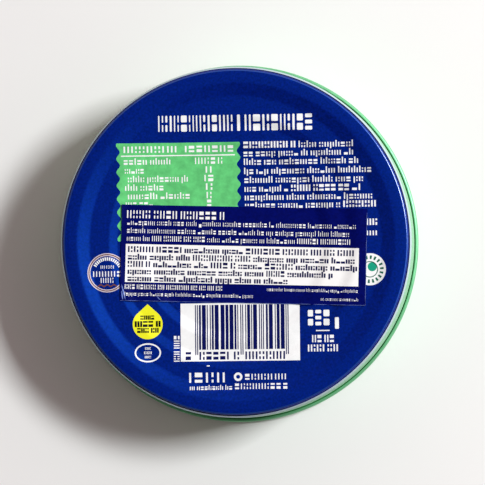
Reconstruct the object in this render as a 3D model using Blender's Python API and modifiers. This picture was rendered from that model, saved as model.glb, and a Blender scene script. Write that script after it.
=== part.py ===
"""A shallow round fish tin, full and shut, lying on its lid with its stepped bottom up.

Metres, +Z up. The origin is the centre of the seam's flat face, on which the tin lies.
The sticker's long side runs along X.
"""

import math

import bmesh
import bpy

MM = 0.001

# Driving sizes of the tin
TIN_HEIGHT = 30.0 * MM
SEAM_RADIUS = 56.0 * MM
RING_RADIUS = 52.5 * MM
CLEARANCE = 0.3 * MM
CAN_TURN_STEPS = 96
LID_TURN_STEPS = 80

# Bottom, which faces up: three slopes step down from the outer ring to the middle.
# Each is (inner radius, outer radius, drop), from the outside in.
SLOPES = (
    (44.0 * MM, 48.4 * MM, 1.3 * MM),
    (35.8 * MM, 38.8 * MM, 0.8 * MM),
    (27.4 * MM, 30.5 * MM, 0.8 * MM),
)
SLOPE_STEPS = 6
RING_EDGE_RADIUS = 1.5 * MM
RING_EDGE_STEPS = 4

# Wall of the drawn can: a short steep shoulder, then a long taper out to the seam
SHOULDER_RADIUS = 53.1 * MM
SHOULDER_HEIGHT = 25.5 * MM
WALL_FOOT_RADIUS = 54.55 * MM

# Double seam, the lid's outer edge: its crest stands above the crevice by the wall
SEAM_CREST_HEIGHT = 3.35 * MM
SEAM_CREST_RADIUS = 55.35 * MM
SEAM_CREVICE_RADIUS = 54.8 * MM
SEAM_CREVICE_HEIGHT = 2.9 * MM
SEAM_TOP_ROUNDING = 0.6 * MM
SEAM_REST_OUTER_RADIUS = 55.55 * MM
SEAM_REST_INNER_RADIUS = 54.9 * MM
SEAM_CORNER_STEPS = 3

# Lid, which faces down, recessed inside the seam
CHUCK_WALL_CORNER = 0.3 * MM
CHUCK_WALL_FOOT_RADIUS = 54.6 * MM
CHUCK_WALL_TOP_RADIUS = 54.1 * MM
COUNTERSINK_HEIGHT = 2.6 * MM
COUNTERSINK_OUTER_RADIUS = 53.7 * MM
COUNTERSINK_INNER_RADIUS = 52.2 * MM
PANEL_RADIUS = 51.4 * MM
PANEL_HEIGHT = 2.2 * MM
SCORE_RADIUS = 50.2 * MM
SCORE_WIDTH = 0.5 * MM
SCORE_DEPTH = 0.2 * MM
BEAD_RADII = (37.5 * MM, 14.0 * MM)
BEAD_WIDTH = 3.2 * MM
BEAD_DEPTH = 0.35 * MM
BEAD_STEPS = 4

# Rivet, pressed out of the lid, which holds the ring-pull tab
RIVET_DISTANCE = 43.6 * MM
RIVET_STEM_RADIUS = 2.0 * MM
RIVET_HEAD_RADIUS = 2.9 * MM
RIVET_HEAD_THICKNESS = 0.35 * MM
RIVET_HEAD_ROUNDING = 0.12 * MM
RIVET_ROOT = 0.3 * MM
RIVET_STEPS = 24

# Ring-pull tab: a flat ring whose nose, with the rivet's hole, points to the seam
TAB_THICKNESS = 1.1 * MM
TAB_EDGE_ROUNDING = 0.2 * MM
TAB_NOSE_RADIUS = 5.2 * MM
TAB_RING_RADIUS = 9.5 * MM
TAB_HOLE_RADIUS = 6.4 * MM
TAB_RING_OFFSET = 15.5 * MM
TAB_OUTLINE_STEP_DEG = 15.0

# Sticker, laid across the steps of the bottom
LABEL_WIDTH = 74.4 * MM
LABEL_HEIGHT = 29.4 * MM
LABEL_CENTRE = (2.45 * MM, -4.0 * MM)
LABEL_TURN_DEG = -0.95
LABEL_THICKNESS = 0.25 * MM
LABEL_BRIDGING = 1.5 * MM
LABEL_CELLS_ALONG = 30
LABEL_CELLS_ACROSS = 12

FOOT_HEIGHT = SEAM_CREVICE_HEIGHT + CLEARANCE
TAB_TOP = PANEL_HEIGHT - CLEARANCE
TAB_BOTTOM = TAB_TOP - TAB_THICKNESS


def clear_scene():
    """Removes the objects of the scene that the script starts in."""
    for obj in list(bpy.data.objects):
        bpy.data.objects.remove(obj, do_unlink=True)


def new_collection(name):
    """Adds a collection to the scene."""
    collection = bpy.data.collections.new(name)
    bpy.context.scene.collection.children.link(collection)
    return collection


def principled(name, colour, roughness, metallic=0.0):
    """Makes a Principled material of one colour."""
    material = bpy.data.materials.new(name)
    material.use_nodes = True
    shader = material.node_tree.nodes["Principled BSDF"]
    shader.inputs["Base Color"].default_value = (*colour, 1.0)
    shader.inputs["Roughness"].default_value = roughness
    shader.inputs["Metallic"].default_value = metallic
    material.diffuse_color = (*colour, 1.0)
    return material


def arc(centre, radius, start_deg, end_deg, steps):
    """Points of an arc, both ends included."""
    points = []
    for i in range(steps + 1):
        angle = math.radians(start_deg + (end_deg - start_deg) * i / steps)
        points.append((centre[0] + radius * math.cos(angle), centre[1] + radius * math.sin(angle)))
    return points


def relief_height(radius):
    """Height of the tin's bottom at a distance from the axis, inside its rounded edge."""
    height = TIN_HEIGHT
    for inner, outer, drop in SLOPES:
        along = min(max((outer - radius) / (outer - inner), 0.0), 1.0)
        height -= drop * 0.5 * (1.0 - math.cos(math.pi * along))
    return height


def can_profile():
    """Section of the can: the stepped bottom from the axis out, the wall down, and the foot."""
    points = [(0.0, relief_height(0.0))]
    for inner, outer, _ in reversed(SLOPES):
        for i in range(SLOPE_STEPS + 1):
            radius = inner + (outer - inner) * i / SLOPE_STEPS
            points.append((radius, relief_height(radius)))
    edge_centre = (RING_RADIUS - RING_EDGE_RADIUS, TIN_HEIGHT - RING_EDGE_RADIUS)
    points += arc(edge_centre, RING_EDGE_RADIUS, 90.0, 6.0, RING_EDGE_STEPS)
    points.append((SHOULDER_RADIUS, SHOULDER_HEIGHT))
    points.append((WALL_FOOT_RADIUS, FOOT_HEIGHT))
    points.append((0.0, FOOT_HEIGHT))
    return points


def bead_profile(radius):
    """A shallow pressed groove in the lid's panel, crossed from the outside in."""
    points = []
    for i in range(BEAD_STEPS + 1):
        along = i / BEAD_STEPS
        depth = BEAD_DEPTH * 0.5 * (1.0 - math.cos(2.0 * math.pi * along))
        points.append((radius + BEAD_WIDTH * (0.5 - along), PANEL_HEIGHT + depth))
    return points


def lid_profile():
    """Section of the lid: its hidden face, the seam, the rest ring, chuck wall and panel."""
    points = [(0.0, SEAM_CREVICE_HEIGHT), (SEAM_CREVICE_RADIUS, SEAM_CREVICE_HEIGHT)]
    points.append((SEAM_CREST_RADIUS, SEAM_CREST_HEIGHT))
    top_centre = (SEAM_RADIUS - SEAM_TOP_ROUNDING, SEAM_CREST_HEIGHT - SEAM_TOP_ROUNDING)
    points += arc(top_centre, SEAM_TOP_ROUNDING, 65.0, 0.0, SEAM_CORNER_STEPS)
    foot_rounding = SEAM_RADIUS - SEAM_REST_OUTER_RADIUS
    foot_centre = (SEAM_REST_OUTER_RADIUS, foot_rounding)
    points += arc(foot_centre, foot_rounding, 0.0, -90.0, SEAM_CORNER_STEPS)
    points.append((SEAM_REST_INNER_RADIUS, 0.0))
    points.append((CHUCK_WALL_FOOT_RADIUS, CHUCK_WALL_CORNER))
    points.append((CHUCK_WALL_TOP_RADIUS, COUNTERSINK_HEIGHT - CHUCK_WALL_CORNER))
    points.append((COUNTERSINK_OUTER_RADIUS, COUNTERSINK_HEIGHT))
    points.append((COUNTERSINK_INNER_RADIUS, COUNTERSINK_HEIGHT))
    points.append((PANEL_RADIUS, PANEL_HEIGHT))
    points.append((SCORE_RADIUS + SCORE_WIDTH / 2.0, PANEL_HEIGHT))
    points.append((SCORE_RADIUS, PANEL_HEIGHT + SCORE_DEPTH))
    points.append((SCORE_RADIUS - SCORE_WIDTH / 2.0, PANEL_HEIGHT))
    for radius in BEAD_RADII:
        points += bead_profile(radius)
    points.append((0.0, PANEL_HEIGHT))
    return points


def rivet_profile():
    """Section of the rivet, from its root in the panel down to its flattened head."""
    head_top = TAB_BOTTOM - CLEARANCE
    head_bottom = head_top - RIVET_HEAD_THICKNESS
    root = PANEL_HEIGHT + RIVET_ROOT
    return [
        (0.0, root),
        (RIVET_STEM_RADIUS, root),
        (RIVET_STEM_RADIUS, head_top),
        (RIVET_HEAD_RADIUS, head_top),
        (RIVET_HEAD_RADIUS, head_bottom + RIVET_HEAD_ROUNDING),
        (RIVET_HEAD_RADIUS - RIVET_HEAD_ROUNDING, head_bottom),
        (0.0, head_bottom),
    ]


def turned(name, profile, steps, material, collection):
    """Turns a profile round the Z axis into one closed solid."""
    mesh = bpy.data.meshes.new(name)
    edges = [(i, i + 1) for i in range(len(profile) - 1)]
    mesh.from_pydata([(radius, 0.0, height) for radius, height in profile], edges, [])
    mesh.materials.append(material)
    solid = bpy.data.objects.new(name, mesh)
    collection.objects.link(solid)
    screw = solid.modifiers.new("Turn", "SCREW")
    screw.steps = steps
    screw.render_steps = steps
    screw.use_merge_vertices = True
    screw.merge_threshold = 0.01 * MM
    screw.use_smooth_shade = True
    return solid


def make_can(parts):
    """The drawn can, full and shut, so it is solid."""
    lacquer = principled("blue_lacquer", (0.004, 0.022, 0.21), 0.35)
    return turned("tin_body", can_profile(), CAN_TURN_STEPS, lacquer, parts)


def make_lid(parts, helpers):
    """The lid with its seam, and the rivet joined to its panel."""
    lacquer = principled("green_lacquer", (0.27, 0.67, 0.36), 0.35)
    lid = turned("lid", lid_profile(), LID_TURN_STEPS, lacquer, parts)
    rivet = turned("rivet_shape", rivet_profile(), RIVET_STEPS, lacquer, helpers)
    rivet.location = (0.0, -RIVET_DISTANCE, 0.0)
    rivet.hide_render = True
    rivet.display_type = "WIRE"
    join = lid.modifiers.new("Rivet", "BOOLEAN")
    join.operation = "UNION"
    join.solver = "EXACT"
    join.object = rivet
    return lid


def tab_outline():
    """Outline of the tab round the rivet's centre: two arcs joined by their tangents."""
    lean_deg = math.degrees(math.asin((TAB_RING_RADIUS - TAB_NOSE_RADIUS) / TAB_RING_OFFSET))
    ring_span = 180.0 + 2.0 * lean_deg
    nose_span = 180.0 - 2.0 * lean_deg
    ring_steps = round(ring_span / TAB_OUTLINE_STEP_DEG)
    nose_steps = round(nose_span / TAB_OUTLINE_STEP_DEG)
    ring_centre = (0.0, TAB_RING_OFFSET)
    points = arc(ring_centre, TAB_RING_RADIUS, -lean_deg, 180.0 + lean_deg, ring_steps)
    points += arc((0.0, 0.0), TAB_NOSE_RADIUS, 180.0 + lean_deg, 360.0 - lean_deg, nose_steps)
    return points


def circle_outline(centre, radius):
    """Outline of a round hole."""
    return arc(centre, radius, 0.0, 360.0, round(360.0 / TAB_OUTLINE_STEP_DEG))[:-1]


def make_tab(parts):
    """The ring-pull tab, flat against the lid's panel, with its nose at the rivet."""
    curve = bpy.data.curves.new("pull_tab", "CURVE")
    curve.dimensions = "2D"
    curve.fill_mode = "BOTH"
    curve.offset = -TAB_EDGE_ROUNDING
    curve.bevel_depth = TAB_EDGE_ROUNDING
    curve.bevel_resolution = 1
    curve.extrude = TAB_THICKNESS / 2.0 - TAB_EDGE_ROUNDING
    outlines = [
        tab_outline(),
        circle_outline((0.0, TAB_RING_OFFSET), TAB_HOLE_RADIUS),
        circle_outline((0.0, 0.0), RIVET_STEM_RADIUS + CLEARANCE),
    ]
    for points in outlines:
        spline = curve.splines.new("POLY")
        spline.points.add(len(points) - 1)
        for point, (x, y) in zip(spline.points, points):
            point.co = (x, y, 0.0, 1.0)
        spline.use_cyclic_u = True
    curve.materials.append(principled("bare_metal", (0.78, 0.78, 0.76), 0.3, 1.0))
    tab = bpy.data.objects.new("pull_tab", curve)
    tab.location = (0.0, -RIVET_DISTANCE, TAB_BOTTOM + TAB_THICKNESS / 2.0)
    parts.objects.link(tab)
    return tab


def make_label(parts):
    """The paper sticker, which follows the steps of the bottom a little above them."""
    turn = math.radians(LABEL_TURN_DEG)
    bm = bmesh.new()
    bmesh.ops.create_grid(
        bm, x_segments=LABEL_CELLS_ALONG, y_segments=LABEL_CELLS_ACROSS, size=0.5
    )
    for vert in bm.verts:
        x = vert.co.x * LABEL_WIDTH
        y = vert.co.y * LABEL_HEIGHT
        world_x = LABEL_CENTRE[0] + x * math.cos(turn) - y * math.sin(turn)
        world_y = LABEL_CENTRE[1] + x * math.sin(turn) + y * math.cos(turn)
        lifted = relief_height(math.hypot(world_x, world_y) + LABEL_BRIDGING) + CLEARANCE
        vert.co = (x, y, lifted)
    mesh = bpy.data.meshes.new("label")
    bm.to_mesh(mesh)
    bm.free()
    mesh.materials.append(principled("navy_paper", (0.003, 0.003, 0.08), 0.5))
    label = bpy.data.objects.new("label", mesh)
    label.location = (*LABEL_CENTRE, 0.0)
    label.rotation_euler = (0.0, 0.0, turn)
    parts.objects.link(label)
    paper = label.modifiers.new("Paper", "SOLIDIFY")
    paper.thickness = LABEL_THICKNESS
    paper.offset = 1.0
    return label


def main():
    """Builds the tin."""
    clear_scene()
    parts = new_collection("fish_tin")
    helpers = new_collection("helpers")
    make_can(parts)
    make_lid(parts, helpers)
    make_tab(parts)
    make_label(parts)


main()
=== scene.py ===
"""Looks of a shut round fish tin, which lies on its lid with its stepped bottom up.

Metres, +Z up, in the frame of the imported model. The print and the sticker are laid out in
millimetres, each in a frame of its own that is turned a little about the tin's axis.
"""

import math
import random

import bmesh
import bpy
from bpy.props import FloatProperty, FloatVectorProperty, IntProperty, PointerProperty
from mathutils import Matrix, Vector, noise


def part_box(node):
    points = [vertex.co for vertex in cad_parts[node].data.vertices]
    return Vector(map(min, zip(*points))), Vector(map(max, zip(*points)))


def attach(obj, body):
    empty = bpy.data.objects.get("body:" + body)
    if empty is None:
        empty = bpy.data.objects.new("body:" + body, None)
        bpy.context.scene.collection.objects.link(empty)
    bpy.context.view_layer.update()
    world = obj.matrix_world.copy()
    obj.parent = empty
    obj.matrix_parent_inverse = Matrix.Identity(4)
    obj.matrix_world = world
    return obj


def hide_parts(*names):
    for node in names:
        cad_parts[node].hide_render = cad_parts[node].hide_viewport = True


bl_info = {
    "name": "Round Fish Tin",
    "version": (1, 0, 0),
    "blender": (4, 5, 0),
    "location": "View3D > Sidebar > Fish Tin",
    "description": "Dresses a round fish tin with lacquer, print, a lid, a ring pull and a sticker",
    "category": "Object",
}

MM = 0.001

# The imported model, which gives the sizes that the looks have to keep
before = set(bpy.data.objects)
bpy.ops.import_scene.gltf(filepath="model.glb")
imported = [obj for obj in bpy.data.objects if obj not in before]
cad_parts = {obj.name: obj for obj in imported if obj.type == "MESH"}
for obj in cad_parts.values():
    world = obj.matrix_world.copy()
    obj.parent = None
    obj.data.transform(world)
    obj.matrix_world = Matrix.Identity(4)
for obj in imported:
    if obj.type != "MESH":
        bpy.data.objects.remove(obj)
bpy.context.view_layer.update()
BODY = "root"
TIN_LOW, TIN_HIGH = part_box("tin_body")
LID_LOW, LID_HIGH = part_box("lid")
TAB_LOW, TAB_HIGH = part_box("pull_tab")
LABEL_LOW, LABEL_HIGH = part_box("label")

# Bottom of the can: inner radius, outer radius and drop of each slope, from the outside in
SLOPES = (
    (44.05 * MM, 48.75 * MM, 1.3 * MM),
    (35.7 * MM, 38.95 * MM, 0.8 * MM),
    (27.3 * MM, 30.65 * MM, 0.8 * MM),
)
SLOPE_EASING = 0.16
SLOPE_STEPS = 14
RELIEF_TOLERANCE = 0.16 * MM

# Wall of the can, under the ring: corners (radius, height, rounding) of the groove and the shoulder
WALL_CORNERS = (
    (52.6 * MM, 27.75 * MM, 0.1 * MM),
    (52.86 * MM, 27.75 * MM, 0.1 * MM),
    (52.98 * MM, 28.35 * MM, 0.15 * MM),
    (53.55 * MM, 26.6 * MM, 0.8 * MM),
)
WALL_FOOT_RADIUS = 54.66 * MM
EDGE_STEPS = 12

# Lacquer of the wall and the ring's edge: how soft its borders are, how far the white line
# wanders, and a painted highlight: a band on the bend, set in by a share of the edge's rounding,
# where the key light's highlight falls, painted a lighter blue with a coat and some metal sheen
BLUE_BORDER = 0.02 * MM
WHITE_BORDER = 0.06 * MM
WHITE_WOBBLE = 0.12 * MM
HIGHLIGHT_BAND_INSET = 0.6
HIGHLIGHT_BAND_FADE = (0.08 * MM, 0.16 * MM)
HIGHLIGHT_BAND_METAL = 0.5

# Lid: its seam, a little inside the frame's, its panel, and the corners (radius, height,
# rounding) of its section, from the hidden face round the seam to the score in the panel
SEAM_RADIUS = LID_HIGH.x - 0.08 * MM
SEAM_FOOT = LID_LOW.z
PANEL_HEIGHT = 2.2 * MM
LID_CORNERS = (
    (54.69 * MM, 2.9 * MM, 0.0),
    (54.69 * MM, 2.3 * MM, 0.05 * MM),
    (54.86 * MM, 2.3 * MM, 0.05 * MM),
    (54.94 * MM, 3.35 * MM, 0.12 * MM),
    (SEAM_RADIUS, 3.35 * MM, 0.75 * MM),
    (SEAM_RADIUS, SEAM_FOOT, 0.45 * MM),
    (54.75 * MM, SEAM_FOOT, 0.25 * MM),
    (54.1 * MM, 2.6 * MM, 0.35 * MM),
    (52.2 * MM, 2.6 * MM, 0.4 * MM),
    (51.4 * MM, PANEL_HEIGHT, 0.4 * MM),
    (50.45 * MM, PANEL_HEIGHT, 0.05 * MM),
    (50.2 * MM, 2.4 * MM, 0.04 * MM),
    (49.95 * MM, PANEL_HEIGHT, 0.05 * MM),
)
BEAD_RADII = (37.5 * MM, 14.0 * MM)
BEAD_WIDTH = 3.2 * MM
BEAD_DEPTH = 0.35 * MM
BEAD_STEPS = 14
ROUNDING_STEPS = 5

# Painted shade in the crevice between the wall and the seam: its middle, where it starts and
# ends to fade on both sides, and the heights between which it starts
CREVICE_SHADE_RADIUS = 54.86 * MM
CREVICE_SHADE_FADE = (0.12 * MM, 0.2 * MM)
CREVICE_SHADE_HEIGHTS = (1.9 * MM, 2.1 * MM)

# Rivet and ring-pull tab. The tab's ring is placed by its centre's distance from the rivet.
RIVET_DISTANCE = 43.6 * MM
RIVET_STEM_RADIUS = 2.0 * MM
RIVET_HEAD_RADIUS = 2.9 * MM
RIVET_HEAD_GAP = 0.3 * MM
RIVET_HEAD_THICKNESS = 0.35 * MM
RIVET_STEM_ROUNDING = 0.1 * MM
RIVET_HEAD_ROUNDING = 0.15 * MM
RIVET_DIMPLE = 0.12 * MM
RIVET_DIMPLE_SHARE = 0.6
RIVET_DIMPLE_ROUNDING = 0.3 * MM
RIVET_ROOT = 0.3 * MM
RIVET_STEPS = 48
TAB_NOSE_RADIUS = 5.2 * MM
TAB_HOLE_RADIUS = 6.4 * MM
TAB_RIVET_HOLE_RADIUS = 2.3 * MM
TAB_WEB_THICKNESS = 0.5 * MM
TAB_INNER_ROLL_SHARE = 0.9
TAB_ROLL_RESOLUTION = 4
TAB_OUTLINE_STEP_DEG = 5.0
TAB_LINE_SHADE = 0.86
TAB_RING_OFFSET = TAB_HIGH.y - TAB_HIGH.x + RIVET_DISTANCE

# Layers over the can, each given by the height of its upper face
INK_LIFT = 0.03 * MM
INK_OVER_INK_LIFT = 0.055 * MM
INK_DEPTH = 0.06 * MM
PAPER_GAP = 0.07 * MM

# Cells of the print, in millimetres, the part of a cell by which a span may be longer, and the
# steps of a rounded corner
CELL = 0.4
FINE_CELL = 0.35
CELL_TOLERANCE = 0.001
CORNER_STEPS = 4

# Pens for small marks in rows: a stroke and the gap beside it, as shares of a row's height
PLAIN = (0.19, 0.225)
BOLD = (0.265, 0.23)
FINE = (0.113, 0.25)
FINE_BOLD = (0.152, 0.25)
MEDIUM = (0.215, 0.235)
WIDE = (0.26, 0.36)
WIDE_PLAIN = (0.19, 0.36)
BOX_PEN = (0.3, 0.118)
DROP_PEN = (0.36, 0.12)

# Other shares of a row's height, and how many marks stand in a group
GROUP_GAP = 0.5
LOW_MARK = 0.72
TAIL = 0.24
GROUP_SIZES = (2, 3, 4, 5, 5, 6, 7, 8)

# Shares of a stack's height: the gap in it, and where that gap may lie
STACK_GAP = 0.26
STACK_MIDDLES = (0.42, 0.5, 0.58)

# How many marks are tall and how many of the low ones have a tail, then the random number
# below which each kind of mark is drawn
TALL_SHARE = 0.28
TAIL_SHARE = 0.16
ONE_STROKE = 0.16
TWO_STROKES = 0.46
STACK = 0.64
STROKE_AND_DOTS = 0.82
FOUR_DOTS = 0.92

# Added to the layout's seed, so that each part of the print draws marks of its own
SEED_SHIFTS = {
    "table": 0, "title": 1, "text": 2, "left badge": 3, "drop": 4, "barcode": 5, "foot": 6,
    "sticker": 8,
}

# Field of the table and its scalloped sides. Places and sizes of the print are in millimetres
# in its own frame, and rectangles are (left, right, low, high).
TABLE_FIELD = (-35.5, 1.2, 0.6, 30.45)
TABLE_FIELD_CELL = 0.2
TABLE_FIELD_COLUMNS = 84
SCALLOP_PITCH = 4.08
SCALLOP_DEPTH = 0.54
SCALLOP_PHASE = 29.85

# Rows of the table, each (label left, label right, number left, number right, middle)
TABLE_ROWS = (
    (-33.8, -19.6, -12.1, -3.8, 24.9),
    (-33.5, -27.8, -8.9, -7.1, 22.2),
    (-32.6, -14.4, -9.3, -6.6, 19.6),
    (-33.5, -21.9, -8.9, -6.9, 17.0),
    (-32.7, -13.9, -8.7, -7.2, 14.4),
    (-33.4, -25.2, -8.6, -7.3, 12.05),
)
TABLE_TITLES = ((-33.8, -17.7), (-15.1, -0.4))
TABLE_TITLE_MIDDLE = 28.5
TABLE_RULE = (-34.6, 0.1, 26.4, 26.75)
TABLE_MARK = 1.95

# Long rows beside it, each (left, right, middle, bold parts)
TEXT_LINES = (
    (2.75, 36.1, 29.5, ((2.75, 18.6),)),
    (2.75, 36.1, 27.0, ()),
    (2.8, 37.6, 24.4, ()),
    (2.85, 41.5, 21.6, ()),
    (2.9, 39.0, 18.9, ()),
    (2.9, 38.1, 16.2, ((17.1, 34.7),)),
    (2.95, 41.7, 13.6, ()),
    (3.0, 42.8, 11.1, ((32.9, 42.8),)),
    (39.9, 43.1, 5.5, ((39.9, 43.1),)),
    (39.9, 43.0, 2.4, ()),
)
TEXT_MARK = 1.95

# Title blocks over both, in groups (count, left, right), all between two heights. Their widths
# vary within a range, and no rounding takes more than a share of a block's side.
TITLE_GROUPS = ((10, -23.1, -0.45), (1, 0.95, 1.85), (8, 3.25, 23.8))
TITLE_BAND = (33.8, 38.7)
TITLE_GAP = 0.68
TITLE_PART_GAP = 0.74
TITLE_WIDTHS = (0.85, 1.2)
TITLE_KINDS = ("pair", "two rows", "three rows", "upright at left", "upright at right")
TITLE_ROUNDING = 0.28
ROUNDING_LIMIT = 0.45

# Round badges. Rings are (inner, outer), dashes are (inner, outer, start, end, count, inked
# share) with angles in degrees, and rows are (left, right, middle, height) from the centre.
LEFT_BADGE = (-39.25, -8.9)
LEFT_BADGE_PEACH_RINGS = ((5.7, 5.97), (5.12, 5.38))
LEFT_BADGE_BROWN_RING = (5.38, 5.7)
LEFT_BADGE_DASHES = (3.75, 4.75, 25.0, 155.0, 15, 0.62)
LEFT_BADGE_ROWS = ((-2.0, 2.0, 1.75, 0.95), (-4.3, 4.2, -0.35, 1.65), (-2.0, 1.85, -2.3, 1.55))
RIGHT_BADGE = (40.7, -8.9)
RIGHT_BADGE_RADIUS = 4.87
RIGHT_BADGE_RING = (2.22, 2.48)
RIGHT_BADGE_DASHES = (3.1, 4.2, 0.0, 360.0, 18, 0.45)

# The left badge's wave, (left, right, middle, thickness, swing, pitch), and the right badge's
# dot, (across, up, radius), both from the centre
LEFT_BADGE_WAVE = (-3.1, 2.9, -3.9, 0.45, 0.28, 2.0)
WAVE_CELL = 0.3
RIGHT_BADGE_DOT = (0.75, 0.8, 1.4)

# The drop and the oval, with rows as on the badges
DROP_CENTRE = (-27.1, -24.75)
DROP_RADIUS = 4.55
DROP_TIP = 6.15
DROP_STEPS = 44
DROP_COLUMNS = 18
DROP_ROWS = ((-2.2, 2.0, 2.05, 1.3), (-3.9, 3.9, 0.1, 1.8), (-3.2, 3.3, -1.85, 1.5))
OVAL_CENTRE = (-27.1, -33.4)
OVAL_RADII = (4.0, 2.9)
OVAL_STROKE = 0.45
OVAL_ROWS = ((-0.85, 0.85, 1.3, 0.75), (-1.15, 1.15, 0.0, 0.8), (-0.95, 0.95, -1.3, 0.75))

# Barcode, with its guards, halves and the insets of its marks in modules. The widths of its bars
# and of the gaps between them are drawn from two lists.
BARCODE_PANEL = (-17.1, 19.2, -36.2, -18.6)
BARCODE_BARS = (-12.7, 15.8, -32.7, -19.1)
BARCODE_GUARD_LOW = -34.3
BARCODE_MODULES = 95
BARCODE_SIDE_GUARD = 3
BARCODE_CENTRE_GUARD = 5
BARCODE_HALF = (BARCODE_MODULES - 2 * BARCODE_SIDE_GUARD - BARCODE_CENTRE_GUARD) // 2
BARCODE_HALF_STARTS = (BARCODE_SIDE_GUARD, BARCODE_SIDE_GUARD + BARCODE_HALF + BARCODE_CENTRE_GUARD)
BARCODE_GUARD_STARTS = (0, BARCODE_SIDE_GUARD + BARCODE_HALF + 1, BARCODE_MODULES - BARCODE_SIDE_GUARD)
BARCODE_MODULE = (BARCODE_BARS[1] - BARCODE_BARS[0]) / BARCODE_MODULES
BAR_CHOICES = (1, 1, 2, 2, 3, 4)
GAP_CHOICES = (1, 1, 1, 2)
BARCODE_MARKS = (-35.75, -33.35)
BARCODE_MARK_COUNT = 6
BARCODE_MARK_INSETS = (1.2, 0.8)
BARCODE_FIRST_MARK = 2.9

# The upright row beside it: (foot of its marks, low end, high end, height)
SIDE_NUMBER = (-17.45, -36.2, -28.4, 1.75)

# Small rows under it, each (left, right, middle, height, pen)
FOOT_LINES = (
    (-14.6, -3.8, -41.15, 3.0, WIDE_PLAIN),
    (-14.4, -1.6, -44.15, 1.45, PLAIN),
    (2.4, 14.8, -41.05, 1.75, WIDE_PLAIN),
    (-0.7, 15.2, -43.9, 1.7, WIDE_PLAIN),
    (22.9, 29.5, -29.7, 2.2, MEDIUM),
    (21.6, 30.7, -32.55, 2.1, MEDIUM),
)

# Other shapes there: blocks (count, left, right, low, high), a ring (across, up, inner, outer),
# a rule and a fleck
WEIGHT_BLOCKS = (3, 21.7, 28.25, -25.7, -21.0)
WEIGHT_SMALL_BLOCK = (1, 29.9, 31.1, -26.8, -23.3)
FOOT_RING = (0.3, -41.0, 0.62, 1.3)
WEIGHT_RULE = (24.1, 28.25, -27.45, -27.1)
FLECK = (-9.2, -8.3, -37.75, -37.45)

# Print of the sticker, in its own frame. Rows are (left, right, middle, height, bold parts).
STICKER_TITLE = (-35.8, -6.2, 11.8, 2.35)
STICKER_LINES = (
    (-35.7, 33.9, 9.35, 1.6, ()),
    (-35.7, 31.9, 6.9, 1.6, ()),
    (-35.7, 32.3, 4.5, 1.6, ((-28.1, -12.0), (16.2, 32.3))),
    (-36.0, -6.4, -10.3, 1.4, ((-36.0, -6.4),)),
    (-36.0, 3.0, -12.45, 1.15, ()),
    (7.3, 34.9, -10.3, 1.0, ()),
    (23.8, 35.0, -12.9, 0.95, ()),
)
STICKER_BOX = (-36.0, 35.03, -8.9, 2.7)
STICKER_BOX_LINES = (
    (-35.3, 33.5, 1.15, 1.8, ((-35.3, -19.0), (0.6, 33.5))),
    (-35.3, 33.8, -1.15, 1.8, ((-15.5, 2.0),)),
    (-35.3, 34.6, -3.35, 1.8, ((-35.3, -28.5), (-10.0, -2.5), (6.5, 15.0))),
    (-35.3, 27.2, -5.55, 1.8, ((7.0, 12.5),)),
    (-35.3, 13.5, -7.7, 1.8, ()),
)

# Outline of the sticker: the turn of the frame's label, and the paper past it on both sides
LABEL_TURN_DEG = 0.95
LEFT_MARGIN = 0.22
RIGHT_MARGIN = 0.18

# Bare edge that shows on its right and along its bottom: its full width, the share of it that
# shows on average, its waves for each millimetre, and where their noise is read
PALE_EDGE_WIDTH = 0.08
PALE_EDGE_SHARE = 0.7
PALE_EDGE_WAVES = 0.4
PALE_EDGE_PHASES = (2.0, 5.0)
PALE_EDGE_INSET = 0.1
PALE_EDGE_TOP = 1.0
PALE_EDGE_CELL = 0.3

# Painted highlights along the creases at its lower left, as pale lines, each (start, end, width), and how
# ragged they are
CREASE_GLINTS = (
    ((-37.0, -9.6), (-35.7, -14.3), 0.5),
    ((-36.95, -11.6), (-36.5, -14.4), 0.45),
    ((-26.4, -12.9), (-24.9, -14.4), 0.16),
)
GLINT_LEAST_SHARE = 0.6
GLINT_WAVES = 1.9
GLINT_THINNEST = 0.01
GLINT_CELL = 0.25

# Raised creases there: how far left and down of the axis they start, how far on they reach
# their full height, their ripples for each metre, and where those are read
CREASE_START = (16.0 * MM, 4.0 * MM)
CREASE_FADE = (14.0 * MM, 10.0 * MM)
CREASE_RIPPLES = (420.0, 300.0)
CREASE_PHASE = 1.7

# Floor, in metres, and the heights (as sines) between which the surroundings darken
FLOOR_REACH = 1.6
FLOOR_CELLS = 8
SKY_FADE = (0.5, 0.92)

# Camera: the image's side in pixels and the sensor's width in millimetres, its place, the point
# that it looks at, its focal length in pixels, and how near it sees
IMAGE_SIDE = 485.0
SENSOR_WIDTH = 36.0
CAMERA_PLACE = (43.8 * MM, -16.6 * MM, 830.0 * MM)
CAMERA_TARGET = (0.665 * MM, 0.374 * MM, 0.0)
CAMERA_FOCAL = 2640.0
CLIP_START = 0.01

# Meshes: the angle from which an edge stays sharp, and how near points are joined
SHARP_ANGLE_DEG = 38.0
MERGE_DISTANCE = 0.0001 * MM
TURN_MERGE_DISTANCE = 0.005 * MM

# Nodes: the range that a noise mostly fills, its detail and scale, an even stretch, the node
# for vectors, and the colour sockets of a Mix node
NOISE_RANGE = (0.3, 0.7)
NOISE_DETAIL = 3.0
ROUGHNESS_DETAIL = 4.0
MOTTLE_PER_METRE = 260.0
EVEN = (1.0, 1.0, 1.0)
VECTOR_MATH = "ShaderNodeVectorMath"
MIX_COLOURS = (6, 7)
MIX_RESULT = 2


def length_setting(name, description, millimetres):
    """A length that a user can change."""
    return FloatProperty(
        name=name, description=description, default=millimetres * MM,
        min=0.0, unit="LENGTH", precision=5
    )


def angle_setting(name, description, degrees):
    """An angle that a user can change."""
    return FloatProperty(
        name=name, description=description, default=math.radians(degrees), subtype="ANGLE"
    )


def level_setting(name, description, level, unit="NONE"):
    """A plain number that a user can change."""
    return FloatProperty(name=name, description=description, default=level, unit=unit)


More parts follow.
